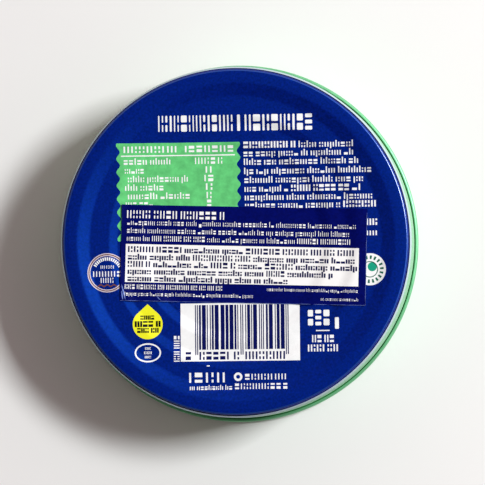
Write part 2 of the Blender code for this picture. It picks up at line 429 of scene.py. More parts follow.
def colour_setting(name, description, colour):
    """A linear colour that a user can change."""
    return FloatVectorProperty(
        name=name, description=description, default=colour, min=0.0, max=1.0, size=3, subtype="COLOR"
    )


class TinSizes(bpy.types.PropertyGroup):
    """Sizes of the tin that the frame leaves open"""

    ring_radius: length_setting("Ring radius", "Outer radius of the bottom's ring", 52.6)
    edge_rounding: length_setting("Edge rounding", "Radius of the ring's rounded edge", 0.8)
    turn_steps: IntProperty(
        name="Turn steps", description="Faces round the can and the lid", default=288, min=48
    )
    blue_end: length_setting(
        "End of the blue", "Radius in the groove under the ring where the blue ends", 52.98
    )
    white_end: length_setting(
        "End of the white", "Height on the wall where the white line ends", 26.75
    )


class StickerSizes(bpy.types.PropertyGroup):
    """Sizes of the paper sticker"""

    turn: angle_setting("Turn", "Turn of the sticker about the tin's axis", -1.15)
    thickness: length_setting("Thickness", "Thickness of the paper", 0.09)
    bridging: length_setting("Bridging", "How far the paper runs on past a slope's top edge", 1.0)
    crease: length_setting("Creases", "Height of the creases at the lower left", 0.16)
    cell: length_setting("Cell", "Size of the paper's cells", 0.6)


class PrintLayout(bpy.types.PropertyGroup):
    """Layout of the print on the can"""

    turn: angle_setting("Turn", "Turn of the print about the tin's axis", 0.75)
    seed: IntProperty(name="Seed", description="Start of the marks' random widths", default=7)


class PackColours(bpy.types.PropertyGroup):
    """Colours of the lacquers, inks and paper"""

    blue: colour_setting("Blue", "Lacquer of the bottom", (0.0006, 0.0068, 0.147))
    # Painted highlight: a lighter blue for the band on the ring's bend where the key light's highlight
    # falls
    painted_edge_highlight: colour_setting("Edge blue", "Thin lacquer over metal at the ring's bend", (0.003, 0.06, 0.3))
    wall_white: colour_setting("Wall white", "Line under the blue", (0.45, 0.56, 0.57))
    wall_green: colour_setting("Wall green", "Pale green of the wall", (0.25, 0.54, 0.26))
    lid_green: colour_setting("Lid green", "Green of the seam and the lid", (0.168, 0.5, 0.255))
    # Painted shade: a deep green that darkens the lid's lacquer in the crevice beside the wall
    painted_crevice_shade: colour_setting("Crevice green", "Crevice between wall and seam", (0.015, 0.38, 0.06))
    metal: colour_setting("Metal", "Bare metal of the tab", (0.78, 0.79, 0.78))
    field_green: colour_setting("Field green", "Field of the table", (0.118, 0.55, 0.182))
    white_ink: colour_setting("White ink", "Marks on the blue", (0.85, 0.87, 0.88))
    dark_ink: colour_setting("Dark ink", "Bars and marks on white", (0.002, 0.005, 0.085))
    black_ink: colour_setting("Black ink", "Marks on the drop", (0.002, 0.002, 0.006))
    box_ink: colour_setting("Box ink", "Marks in the sticker's box", (0.001, 0.002, 0.06))
    yellow: colour_setting("Yellow", "The drop", (0.82, 0.83, 0.023))
    brown: colour_setting("Brown", "Ring and wave of the left badge", (0.16, 0.06, 0.045))
    peach: colour_setting("Peach", "Pale rings of the left badge", (0.6, 0.55, 0.62))
    badge_green: colour_setting("Badge green", "Dot of the right badge", (0.01, 0.319, 0.2))
    deep_green: colour_setting("Deep green", "Dashes and ring of the right badge", (0.006, 0.12, 0.075))
    navy: colour_setting("Navy", "Sticker", (0.001, 0.003, 0.1))
    paper: colour_setting("Paper", "Bare paper and white boxes", (0.88, 0.88, 0.88))
    # Pale blue of the sticker's bare edge, and of the painted highlights along its creases
    pale_edge_and_crease_glint: colour_setting("Worn paper", "Edges and creases of the sticker", (0.17, 0.25, 0.62))
    floor: colour_setting("Floor", "Plain floor", (0.82, 0.82, 0.82))


class StageSettings(bpy.types.PropertyGroup):
    """Light of the studio"""

    key_azimuth: angle_setting("Key azimuth", "Side that the main light comes from", 22.5)
    key_elevation: angle_setting("Key elevation", "Height of the main light", 45.3)
    key_distance: length_setting("Key distance", "Distance of the main light", 1500.0)
    key_width: length_setting("Key width", "Width of the main light", 420.0)
    key_height: length_setting("Key height", "Height of the main light", 240.0)
    key_power: level_setting("Key power", "Power of the main light", 25.6, "POWER")
    key_tint: colour_setting("Key tint", "Colour of the main light", (0.965, 1.0, 0.99))
    sky_azimuth: angle_setting("Sky azimuth", "Side on which the surroundings are palest", 60.0)
    sky_strength: level_setting("Sky strength", "Brightness of the surroundings", 0.62)
    sky_top: level_setting("Sky top", "Brightness straight above", 0.05)
    sky_far: level_setting("Sky far side", "Brightness of the darkest side", 0.12)
    sky_near: level_setting("Sky near side", "Brightness of the palest side", 1.88)
    sky_tint: colour_setting("Sky tint", "Colour of the surroundings", (1.0, 0.8, 0.79))


def smooth_share(value):
    """Eases a share from 0 to 1, and holds it there."""
    share = min(max(value, 0.0), 1.0)
    return share * share * (3.0 - 2.0 * share)


def pressed_share(along):
    """How far a pressed slope has dropped: a straight fall that is rounded at both its ends."""
    share = min(max(along, 0.0), 1.0)
    fall = 1.0 / (1.0 - SLOPE_EASING)
    if share < SLOPE_EASING:
        return fall * share * share / (2.0 * SLOPE_EASING)
    if share > 1.0 - SLOPE_EASING:
        return 1.0 - fall * (1.0 - share) ** 2 / (2.0 * SLOPE_EASING)
    return fall * (share - SLOPE_EASING / 2.0)


def relief_height(radius):
    """Height of the can's bottom at a distance from the axis, inside its rounded edge."""
    height = TIN_HIGH.z
    for inner, outer, drop in SLOPES:
        height -= drop * pressed_share((outer - radius) / (outer - inner))
    return height


def check_relief():
    """Stops the script if the bottom isn't the one that the frame holds."""
    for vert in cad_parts["tin_body"].data.vertices:
        radius = math.hypot(vert.co.x, vert.co.y)
        if radius > SLOPES[0][1] or vert.co.z < TIN_HIGH.z / 2.0:
            continue
        if abs(vert.co.z - relief_height(radius)) > RELIEF_TOLERANCE:
            raise RuntimeError(f"The bottom's relief differs from the frame at radius {radius:.4f} m")


def arc(centre, radius, start_deg, end_deg, steps):
    """Points of an arc, both ends included."""
    points = []
    for i in range(steps + 1):
        angle = math.radians(start_deg + (end_deg - start_deg) * i / steps)
        points.append((centre[0] + radius * math.cos(angle), centre[1] + radius * math.sin(angle)))
    return points


def bezier(start, control, end, steps):
    """Points of a quadratic curve, without its start."""
    points = []
    for i in range(1, steps + 1):
        t = i / steps
        points.append(tuple(
            (1 - t) ** 2 * a + 2 * t * (1 - t) * b + t ** 2 * c for a, b, c in zip(start, control, end)
        ))
    return points


def rounded_section(start, corners, end):
    """Section through corners (radius, height, rounding), each of them rounded by a curve."""
    route = [start, *corners, end]
    points = [start[:2]]
    for before, corner, after in zip(route, route[1:], route[2:]):
        here = Vector(corner[:2])
        back = (Vector(before[:2]) - here).normalized()
        ahead = (Vector(after[:2]) - here).normalized()
        if corner[2] == 0.0:
            points.append(tuple(here))
            continue
        half = back.angle(ahead) / 2.0
        reach = corner[2] / math.tan(half)
        points.append(tuple(here + back * reach))
        points += bezier(here + back * reach, here, here + ahead * reach, ROUNDING_STEPS)
    points.append(end[:2])
    return points


def add_object(name, data):
    """Adds an object to the scene."""
    obj = bpy.data.objects.new(name, data)
    bpy.context.scene.collection.objects.link(obj)
    return obj


def apply_modifiers(obj):
    """Puts an object's evaluated mesh in place of its own and drops its modifiers."""
    graph = bpy.context.evaluated_depsgraph_get()
    mesh = bpy.data.meshes.new_from_object(obj.evaluated_get(graph))
    obj.modifiers.clear()
    obj.data = mesh
    mesh.name = obj.name


def shade(obj):
    """Shades a mesh smooth with its real corners kept sharp."""
    obj.data.shade_smooth()
    obj.data.set_sharp_from_angle(angle=math.radians(SHARP_ANGLE_DEG))


def settle(obj, slot_name, *nodes):
    """Makes a finished piece ride with the tin, in place of its nodes, which it hides."""
    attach(obj, BODY)
    if nodes:
        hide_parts(*nodes)


def turned(name, profile, steps, material):
    """Turns a section round the Z axis."""
    mesh = bpy.data.meshes.new(name)
    edges = [(i, i + 1) for i in range(len(profile) - 1)]
    mesh.from_pydata([(radius, 0.0, height) for radius, height in profile], edges, [])
    mesh.materials.append(material)
    obj = add_object(name, mesh)
    screw = obj.modifiers.new("Turn", "SCREW")
    screw.steps = steps
    screw.render_steps = steps
    screw.use_merge_vertices = True
    screw.merge_threshold = TURN_MERGE_DISTANCE
    screw.use_smooth_shade = True
    apply_modifiers(obj)
    return obj


def join_by_union(obj, others):
    """Joins closed meshes to one solid with a Boolean union."""
    for other in others:
        union = obj.modifiers.new("Join", "BOOLEAN")
        union.operation = "UNION"
        union.solver = "EXACT"
        union.object = other
    apply_modifiers(obj)
    if not obj.data.polygons:
        raise RuntimeError(f"The union of {obj.name} left no faces")
    for other in others:
        bpy.data.objects.remove(other, do_unlink=True)


class NodeWork:
    """A node tree with its coordinates, and short ways to add nodes to it."""

    def __init__(self, tree, coordinates):
        self.tree = tree
        self.place = self.add("ShaderNodeTexCoord").outputs[coordinates]

    def add(self, kind, **settings):
        """Adds a node with its settings."""
        node = self.tree.nodes.new(kind)
        for name, value in settings.items():
            setattr(node, name, value)
        return node

    def feed(self, socket, value):
        """Joins a socket to another node's output, or gives it a value of its own."""
        if isinstance(value, bpy.types.NodeSocket):
            self.tree.links.new(value, socket)
        elif socket.type == "RGBA":
            socket.default_value = (*value, 1.0)
        else:
            socket.default_value = value

    def calculate(self, operation, *values, kind="ShaderNodeMath", result="Value"):
        """Works out a number or a vector from others."""
        node = self.add(kind, operation=operation)
        for socket, value in zip(node.inputs, values):
            self.feed(socket, value)
        return node.outputs[result]

    def spread(self, value, from_low, from_high, to_low, to_high, smooth=False):
        """Maps a value from one range to another."""
        node = self.add("ShaderNodeMapRange", interpolation_type="SMOOTHSTEP" if smooth else "LINEAR")
        limits = {"From Min": from_low, "From Max": from_high, "To Min": to_low, "To Max": to_high}
        for name, limit in limits.items():
            self.feed(node.inputs[name], limit)
        self.feed(node.inputs["Value"], value)
        return node.outputs["Result"]

    def height(self):
        """The coordinate that points up."""
        separate = self.add("ShaderNodeSeparateXYZ")
        self.feed(separate.inputs["Vector"], self.place)
        return separate.outputs["Z"]


class Finish(NodeWork):
    """A procedural material: a lacquer, ink, metal or paper with its own mottle and grain."""

    def __init__(self, name, roughness, metallic=0.0, specular=0.5):
        self.material = bpy.data.materials.new(name)
        self.material.use_nodes = True
        super().__init__(self.material.node_tree, "Object")
        self.shader = self.tree.nodes["Principled BSDF"]
        self.give("Roughness", roughness)
        self.give("Metallic", metallic)
        self.give("Specular IOR Level", specular)

    def give(self, name, value):
        """Gives the shader one of its values, or joins it to an output."""
        self.feed(self.shader.inputs[name], value)

    def noise(self, per_metre, detail=NOISE_DETAIL, stretch=EVEN):
        """A noise over the object, from 0 to 1."""
        mapping = self.add("ShaderNodeMapping")
        self.feed(mapping.inputs["Scale"], stretch)
        self.feed(mapping.inputs["Vector"], self.place)
        texture = self.add("ShaderNodeTexNoise")
        self.feed(texture.inputs["Scale"], per_metre)
        self.feed(texture.inputs["Detail"], detail)
        self.feed(texture.inputs["Vector"], mapping.outputs["Vector"])
        return texture.outputs["Fac"]

    def varied(self, per_metre, low, high, detail=NOISE_DETAIL, stretch=EVEN):
        """A value that varies over the object between two limits."""
        return self.spread(self.noise(per_metre, detail, stretch), *NOISE_RANGE, low, high)

    def blend(self, factor, first, second):
        """Mixes two colours, each a colour or an output."""
        node = self.add("ShaderNodeMix", data_type="RGBA")
        self.feed(node.inputs["Factor"], factor)
        for index, colour in zip(MIX_COLOURS, (first, second)):
            self.feed(node.inputs[index], colour)
        return node.outputs[MIX_RESULT]

    def mottled(self, colour, share, per_metre=MOTTLE_PER_METRE):
        """A colour that varies over the object, a share darker and lighter."""
        dark = tuple(channel * (1.0 - share) for channel in colour)
        light = tuple(min(channel * (1.0 + share), 1.0) for channel in colour)
        return self.blend(self.varied(per_metre, 0.0, 1.0), dark, light)

    def from_axis(self):
        """The distance from the tin's axis."""
        flat = self.calculate("MULTIPLY", self.place, (1.0, 1.0, 0.0), kind=VECTOR_MATH, result="Vector")
        return self.calculate("LENGTH", flat, kind=VECTOR_MATH)

    def past(self, value, border, softness):
        """A share that goes from 0 to 1 across a border."""
        return self.spread(value, border - softness, border + softness, 0.0, 1.0, smooth=True)

    def band(self, value, middle, full, gone):
        """A share that is 1 near a middle value, and fades out on both sides of it."""
        apart = self.calculate("ABSOLUTE", self.calculate("SUBTRACT", value, middle))
        return self.spread(apart, full, gone, 1.0, 0.0, smooth=True)

    def roughness(self, per_metre, low, high, stretch=EVEN):
        """Varies the roughness over the object, about the shader's plain value."""
        self.give("Roughness", self.varied(per_metre, low, high, ROUGHNESS_DETAIL, stretch))

    def grain(self, per_metre, height, detail=NOISE_DETAIL, stretch=EVEN):
        """Adds a fine relief to the surface, by its height in metres."""
        bump = self.add("ShaderNodeBump")
        self.feed(bump.inputs["Strength"], 1.0)
        self.feed(bump.inputs["Distance"], height)
        self.feed(bump.inputs["Height"], self.noise(per_metre, detail, stretch))
        self.give("Normal", bump.outputs["Normal"])


def can_lacquer(sizes, colours):
    """Blue lacquer with a painted highlight on the ring's bend, a white line and a pale green wall."""
    finish = Finish("can_lacquer", roughness=0.5, specular=1.0)
    finish.give("Specular Tint", (0.01, 0.17, 1.0))
    finish.give("Coat Roughness", 0.22)
    finish.give("Coat IOR", 1.6)
    radius = finish.from_axis()
    wobble = finish.varied(per_metre=90.0, low=-WHITE_WOBBLE, high=WHITE_WOBBLE)
    height = finish.calculate("ADD", finish.height(), wobble)
    over_white = finish.past(height, sizes.white_end, WHITE_BORDER)
    wall = finish.blend(over_white, finish.mottled(colours.wall_green, share=0.05), colours.wall_white)
    # Painted highlight: at the radius where the key light's highlight falls on the bend, a narrow band gets
    # a coat, some metal sheen and a lighter blue
    highlight_band = finish.band(radius, sizes.ring_radius - HIGHLIGHT_BAND_INSET * sizes.edge_rounding, *HIGHLIGHT_BAND_FADE)
    finish.give("Coat Weight", highlight_band)
    finish.give("Metallic", finish.spread(highlight_band, 0.0, 1.0, 0.0, HIGHLIGHT_BAND_METAL))
    speckled = finish.mottled(colours.blue, share=0.42, per_metre=1500.0)
    blue = finish.blend(highlight_band, speckled, colours.painted_edge_highlight)
    past_blue = finish.past(radius, sizes.blue_end, BLUE_BORDER)
    finish.give("Base Color", finish.blend(past_blue, blue, wall))
    finish.roughness(per_metre=700.0, low=0.46, high=0.56)
    finish.grain(per_metre=1500.0, height=0.006 * MM)
    return finish.material


def lid_lacquer(colours):
    """Satin green lacquer of the seam and the lid, with painted shade in the crevice by the wall."""
    finish = Finish("lid_lacquer", roughness=0.4, metallic=0.5, specular=0.4)
    # Painted shade: a thin ring at the crevice, over the seam's foot, blends to the deep green
    above = finish.spread(finish.height(), *CREVICE_SHADE_HEIGHTS, 0.0, 1.0)
    beside = finish.band(finish.from_axis(), CREVICE_SHADE_RADIUS, *CREVICE_SHADE_FADE)
    crevice = finish.calculate("MULTIPLY", above, beside)
    green = finish.mottled(colours.lid_green, share=0.06)
    finish.give("Base Color", finish.blend(crevice, green, colours.painted_crevice_shade))
    finish.roughness(per_metre=500.0, low=0.36, high=0.46)
    finish.grain(per_metre=1400.0, height=0.006 * MM)
    return finish.material


def tab_metal(colours):
    """Rolled bare metal, with fine lines along the tab."""
    finish = Finish("tab_metal", roughness=0.3, metallic=1.0)
    lines = (1.0, 0.04, 1.0)
    dull = tuple(channel * TAB_LINE_SHADE for channel in colours.metal)
    streaks = finish.noise(per_metre=2600.0, detail=4.0, stretch=lines)
    finish.give("Base Color", finish.blend(streaks, dull, colours.metal))
    finish.roughness(per_metre=2200.0, low=0.22, high=0.4, stretch=lines)
    finish.grain(per_metre=3000.0, height=0.004 * MM, detail=4.0, stretch=lines)
    return finish.material


def ink(name, colour, share=0.04):
    """Printing ink under the can's clear varnish. An ink that is there already is used again."""
    if name in bpy.data.materials:
        return bpy.data.materials[name]
    finish = Finish(name, roughness=0.32, specular=0.15)
    finish.give("Base Color", finish.mottled(colour, share, per_metre=500.0))
    finish.roughness(per_metre=800.0, low=0.27, high=0.38)
    finish.grain(per_metre=1600.0, height=0.005 * MM)
    return finish.material


def sticker_paper(name, colour, share):
    """Coated paper, with faint fibres."""
    finish = Finish(name, roughness=0.4, specular=0.025)
    finish.give("Base Color", finish.mottled(colour, share, per_metre=1300.0))
    finish.roughness(per_metre=600.0, low=0.33, high=0.5)
    finish.grain(per_metre=2200.0, height=0.008 * MM, detail=5.0, stretch=(1.0, 0.45, 1.0))
    return finish.material


def floor_finish(colours):
    """Plain pale floor, very faintly uneven."""
    finish = Finish("pale_floor", roughness=0.55, specular=0.3)
    finish.give("Base Color", finish.mottled(colours.floor, share=0.012, per_metre=6.0))
    finish.roughness(per_metre=30.0, low=0.5, high=0.6)
    return finish.material


class PrintFrame:
    """A turned frame for marks in millimetres, and the height of the surface that they lie on."""

    def __init__(self, centre, turn, surface):
        self.centre = centre
        self.cosine = math.cos(turn)
        self.sine = math.sin(turn)
        self.surface = surface

    def point(self, mark, lift):
        """The place in metres of a mark's point, some way over the surface."""
        x = mark[0] * MM
        y = mark[1] * MM
        world_x = self.centre[0] + x * self.cosine - y * self.sine
        world_y = self.centre[1] + x * self.sine + y * self.cosine
        return (world_x, world_y, self.surface(world_x, world_y) + lift)


def can_surface(x, y):
    """Height of the can's bottom under a point."""
    return relief_height(math.hypot(x, y))


def print_frame(layout):
    """The frame of the print on the can."""
    return PrintFrame((0.0, 0.0), layout.turn, can_surface)


def steps_for(span, cell):
    """Number of cells along a span."""
    return max(1, math.ceil(abs(span) / cell - CELL_TOLERANCE))


def spaced(low, high, cell):
    """Evenly spaced values from low to high."""
    steps = steps_for(high - low, cell)
    return [low + (high - low) * i / steps for i in range(steps + 1)]


def strip(left_of, right_of, heights, columns):
    """A patch between two edges that are functions of the height.

    A patch is rows of points, and whether its last row joins its first.
    """
    rows = []
    for height in heights:
        left = left_of(height)
        right = right_of(height)
        rows.append([(left + (right - left) * j / columns, height) for j in range(columns + 1)])
    return rows, False


def block(left, right, low, high, cell=CELL):
    """A rectangle."""
    columns = steps_for(right - left, cell)
    return strip(lambda _: left, lambda _: right, spaced(low, high, cell), columns)


def rounded_block(left, right, low, high, rounding):
    """A rectangle with rounded corners."""
    angles = [math.radians(90.0 * i / CORNER_STEPS) for i in range(CORNER_STEPS)]
    corner = [rounding * (1.0 - math.cos(angle)) for angle in angles]

    def inset(height):
        near = rounding - min(height - low, high - height)
        return rounding - math.sqrt(max(rounding ** 2 - max(near, 0.0) ** 2, 0.0))

    heights = [low + rise for rise in corner] + spaced(low + rounding, high - rounding, CELL)
    heights += [high - rise for rise in reversed(corner)]
    columns = steps_for(right - left, CELL) + 1
    return strip(lambda y: left + inset(y), lambda y: right - inset(y), heights, columns)


def oval_ring(centre, inner, outer, start_deg=0.0, end_deg=360.0):
    """A ring or a part of one. inner and outer are pairs of radii along both axes."""
    closed = end_deg - start_deg >= 360.0
    length = math.radians(end_deg - start_deg) * max(outer)
    steps = max(steps_for(length, CELL), 3)
    columns = steps_for(max(outer) - max(inner), CELL)
    rows = []
    for i in range(steps + (0 if closed else 1)):
        angle = math.radians(start_deg + (end_deg - start_deg) * i / steps)
        row = []
        for j in range(columns + 1):
            share = j / columns
            along = inner[0] + (outer[0] - inner[0]) * share
            across = inner[1] + (outer[1] - inner[1]) * share
            row.append((centre[0] + along * math.cos(angle), centre[1] + across * math.sin(angle)))
        rows.append(row)
    return rows, closed


def ring(centre, inner, outer, start_deg=0.0, end_deg=360.0):
    """A round ring or a part of one."""
    return oval_ring(centre, (inner, inner), (outer, outer), start_deg, end_deg)


def disc(centre, radius):
    """A filled disc."""
    return ring(centre, 0.0, radius)


def dashes(centre, inner, outer, start_deg, end_deg, count, inked_share):
    """Parts of a ring in even steps, each with a gap after it."""
    step = (end_deg - start_deg) / count
    return [
        ring(centre, inner, outer, start_deg + step * i, start_deg + step * (i + inked_share))
        for i in range(count)
    ]


def moved(patch, change):
    """A patch with each of its points changed."""
    rows, closed = patch
    return [[change(point) for point in row] for row in rows], closed


def patch_faces(rows, closed, first, depth):
    """Faces of one patch: its upper and lower sides, and the rim between them."""
    count = len(rows)
    columns = len(rows[0]) - 1
    pairs = [(i, (i + 1) % count) for i in range(count if closed else count - 1)]

    def upper(i, j):
        return first + i * (columns + 1) + j

    faces = []
    for i, k in pairs:
        for j in range(columns):
            quad = (upper(i, j), upper(i, j + 1), upper(k, j + 1), upper(k, j))
            faces.append(quad)
            faces.append(tuple(v + depth for v in reversed(quad)))
    edges = [(upper(i, columns), upper(k, columns)) for i, k in pairs]
    edges += [(upper(k, 0), upper(i, 0)) for i, k in pairs]
    if not closed:
        edges += [(upper(0, j), upper(0, j + 1)) for j in range(columns)]
        edges += [(upper(count - 1, j + 1), upper(count - 1, j)) for j in range(columns)]
    rim = [(a, a + depth, b + depth, b) for a, b in edges]
    return faces, rim


def layer(name, patches, print_on, lift, thickness, materials):
    """One thin solid for all patches, laid on a surface. A second material covers the rims."""
    verts = []
    faces = []
    rims = []
    for rows, closed in patches:
        first = len(verts)
        points = [point for row in rows for point in row]
        verts += [print_on.point(point, lift) for point in points]
        verts += [print_on.point(point, lift - thickness) for point in points]
        patch_sides, patch_rim = patch_faces(rows, closed, first, len(points))
        faces += patch_sides
        rims += patch_rim
    mesh = bpy.data.meshes.new(name)
    mesh.from_pydata(verts, [], faces + rims)
    for material in materials:
        mesh.materials.append(material)
    for polygon in mesh.polygons[len(faces):]:
        polygon.material_index = len(materials) - 1
    bm = bmesh.new()
    bm.from_mesh(mesh)
    bmesh.ops.remove_doubles(bm, verts=bm.verts, dist=MERGE_DISTANCE)
    bm.to_mesh(mesh)
    bm.free()
    obj = add_object(name, mesh)
    shade(obj)
    return obj


def print_piece(name, patches, print_on, slot_name, material, over_ink):
    """Print on a surface, or over the ink that is there."""
    lift = INK_OVER_INK_LIFT if over_ink else INK_LIFT
    settle(layer(name, patches, print_on, lift, INK_DEPTH, [material]), slot_name)


def can_print(name, patches, layout, material, over_ink=False):
    """Print on the can."""
    print_piece(name, patches, print_frame(layout), "can_lacquer", material, over_ink)


def sticker_print(name, patches, sticker, material, over_ink=False):
    """Print on the sticker, or paper laid bare on it."""
    print_piece(name, patches, sticker_frame(sticker), "label_paper", material, over_ink)


def dice(layout, part):
    """The random draws of one part of the print."""
    return random.Random(layout.seed + SEED_SHIFTS[part])


def small_marks(rng, pen, height, tall_only):
    """A few plain marks, each (left, right, low, high), and the width that they take.

    They stand side by side or in a stack. tall_only leaves out the low ones and the tails.
    """
    stroke, gap = (share * height for share in pen)
    low_top = height if tall_only else LOW_MARK * height
    tall = tall_only or rng.random() < TALL_SHARE
    top = height if tall else low_top
    foot = -TAIL * height if not tall and rng.random() < TAIL_SHARE else 0.0
    kind = rng.random()
    if kind < ONE_STROKE:
        return [(0.0, stroke, foot, top)], stroke
    second = stroke + gap
    width = second + stroke
    half_gap = STACK_GAP * low_top / 2.0
    middle = low_top * rng.choice(STACK_MIDDLES)
    if kind < TWO_STROKES or (tall_only and kind >= FOUR_DOTS):
        return [(0.0, stroke, foot, top), (second, width, 0.0, low_top)], width
    lower = (0.0, middle - half_gap)
    upper = (middle + half_gap, low_top)
    if kind < STACK:
        return [(0.0, width, *lower), (0.0, width, *upper)], width
    dots = [(second, width, *lower), (second, width, *upper)]
    if kind < STROKE_AND_DOTS:
        return [(0.0, stroke, foot, top), *dots], width
    if kind < FOUR_DOTS:
        return [(0.0, stroke, *lower), (0.0, stroke, *upper), *dots], width
    return [(0.0, width, foot, low_top / 2.0)], width


def mark_row(rng, left, right, middle, height, pen=PLAIN, tall_only=False):
    """A row of small marks in groups, which fills its length."""
    gap = height * pen[1]
    base = middle - height / 2.0
    marks = []
    x = 0.0
    while x < right - left:
        for _ in range(rng.choice(GROUP_SIZES)):
            group, width = small_marks(rng, pen, height, tall_only)
            marks += [(x + a, x + b, c, d) for a, b, c, d in group]
            x += width + gap
            if x >= right - left:
                break
        end = x - gap
        x += height * GROUP_GAP - gap
    scale = (right - left) / end
    return [
        block(left + a * scale, left + b * scale, base + c, base + d, FINE_CELL) for a, b, c, d in marks
    ]


def row_with_bold(rng, left, right, middle, height, bold_parts, pen=PLAIN, bold_pen=BOLD):
    """A row whose named parts have bold, tall marks."""
    patches = []
    x = left
    gap = height * GROUP_GAP
    for bold_left, bold_right in bold_parts:
        if bold_left - gap > x:
            patches += mark_row(rng, x, bold_left - gap, middle, height, pen)
        patches += mark_row(rng, bold_left, bold_right, middle, height, bold_pen, tall_only=True)
        x = bold_right + gap
    if right - x > gap:
        patches += mark_row(rng, x, right, middle, height, pen)
    return patches


def title_parts(kind, left, right, low, high):
    """Parts of one title block, each (left, right, low, high)."""
    centre = (left + right) / 2.0
    middle = (low + high) / 2.0
    half_gap = TITLE_PART_GAP / 2.0
    row = (high - low - 2.0 * TITLE_PART_GAP) / 3.0
    left_part = (left, centre - half_gap)
    right_part = (centre + half_gap, right)
    lower = (low, middle - half_gap)
    upper = (middle + half_gap, high)
    if kind == "pair":
        return [(*left_part, low, high), (*right_part, low, high)]
    if kind == "two rows":
        return [(left, right, *lower), (left, right, *upper)]
    if kind == "three rows":
        starts = (low, middle - row / 2.0, high - row)
        return [(left, right, start, start + row) for start in starts]
    if kind == "upright at left":
        return [(*left_part, low, high), (*right_part, *lower), (*right_part, *upper)]
    if kind == "upright at right":
        return [(*left_part, *lower), (*left_part, *upper), (*right_part, low, high)]
    return [(left, right, low, high)]


def title_blocks(rng, count, left, right, low, high):
    """Rounded blocks in a row, no two alike side by side. One that stands alone is whole."""
    widths = [rng.uniform(*TITLE_WIDTHS) for _ in range(count)]
    scale = (right - left - TITLE_GAP * (count - 1)) / sum(widths)
    patches = []
    x = left
    kind = "whole"
    for width in widths:
        if count > 1:
            kind = rng.choice([other for other in TITLE_KINDS if other != kind])
        for a, b, c, d in title_parts(kind, x, x + width * scale, low, high):
            rounding = min(TITLE_ROUNDING, (b - a) * ROUNDING_LIMIT, (d - c) * ROUNDING_LIMIT)
            patches.append(rounded_block(a, b, c, d, rounding))
        x += width * scale + TITLE_GAP
    return patches


def make_can(sizes, colours):
    """The drawn can: stepped bottom, rounded ring, shoulder and tapered wall."""
    check_relief()
    points = [(0.0, relief_height(0.0))]
    for inner, outer, _ in reversed(SLOPES):
        for i in range(SLOPE_STEPS + 1):
            radius = inner + (outer - inner) * i / SLOPE_STEPS
            points.append((radius, relief_height(radius)))
    rounding = sizes.edge_rounding
    edge_centre = (sizes.ring_radius - rounding, TIN_HIGH.z - rounding)
    points += arc(edge_centre, rounding, 90.0, 0.0, EDGE_STEPS)
    foot = (WALL_FOOT_RADIUS, TIN_LOW.z)
    points += rounded_section(points[-1], WALL_CORNERS, foot)[1:]
    points.append((0.0, foot[1]))
    can = turned("tin_can", points, sizes.turn_steps, can_lacquer(sizes, colours))
    shade(can)
    settle(can, "can_lacquer", "tin_body")


def bead_section(radius):
    """A shallow pressed groove in the lid's panel, crossed from the outside in."""
    points = []
    for i in range(BEAD_STEPS + 1):
        along = i / BEAD_STEPS
        depth = BEAD_DEPTH * 0.5 * (1.0 - math.cos(2.0 * math.pi * along))
        points.append((radius + BEAD_WIDTH * (0.5 - along), PANEL_HEIGHT + depth))
    return points


def rivet_section():
    """Section of the rivet, from its root in the panel down to its dimpled head."""
    head_top = TAB_LOW.z - RIVET_HEAD_GAP
    head_bottom = head_top - RIVET_HEAD_THICKNESS
    dimple = head_bottom + RIVET_DIMPLE
    root = PANEL_HEIGHT + RIVET_ROOT
    corners = (
        (RIVET_STEM_RADIUS, root, 0.0),
        (RIVET_STEM_RADIUS, head_top, RIVET_STEM_ROUNDING),
        (RIVET_HEAD_RADIUS, head_top, RIVET_STEM_ROUNDING),
        (RIVET_HEAD_RADIUS, head_bottom, RIVET_HEAD_ROUNDING),
        (RIVET_STEM_RADIUS, head_bottom, RIVET_DIMPLE_ROUNDING),
        (RIVET_STEM_RADIUS * RIVET_DIMPLE_SHARE, dimple, RIVET_DIMPLE_ROUNDING),
    )
    return rounded_section((0.0, root), corners, (0.0, dimple))


def make_lid(sizes, colours):
    """The lid with its double seam, score, pressed grooves and rivet."""
    green = lid_lacquer(colours)
    panel_edge = (BEAD_RADII[0] + BEAD_WIDTH / 2.0, PANEL_HEIGHT)
    points = rounded_section((0.0, LID_CORNERS[0][1]), LID_CORNERS, panel_edge)[:-1]
    for radius in BEAD_RADII:
        points += bead_section(radius)
    points.append((0.0, PANEL_HEIGHT))
    lid = turned("tin_lid", points, sizes.turn_steps, green)
    rivet = turned("rivet", rivet_section(), RIVET_STEPS, green)
    rivet.location = (0.0, -RIVET_DISTANCE, 0.0)
    bpy.context.view_layer.update()
    join_by_union(lid, [rivet])
    shade(lid)
    settle(lid, "lid_lacquer", "lid")


def tab_outline(inset):
    """The tab's outline round the rivet, moved inwards: two arcs joined by their tangents."""
    ring_radius = TAB_HIGH.x - inset
    nose_radius = TAB_NOSE_RADIUS - inset
    lean_deg = math.degrees(math.asin((ring_radius - nose_radius) / TAB_RING_OFFSET))
    ring_steps = round((180.0 + 2.0 * lean_deg) / TAB_OUTLINE_STEP_DEG)
    nose_steps = round((180.0 - 2.0 * lean_deg) / TAB_OUTLINE_STEP_DEG)
    ring_centre = (0.0, TAB_RING_OFFSET)
    points = arc(ring_centre, ring_radius, -lean_deg, 180.0 + lean_deg, ring_steps)
    points += arc((0.0, 0.0), nose_radius, 180.0 + lean_deg, 360.0 - lean_deg, nose_steps)
    return points


def circle_outline(centre, radius):
    """Outline of a round hole."""
    return arc(centre, radius, 0.0, 360.0, round(360.0 / TAB_OUTLINE_STEP_DEG))[:-1]


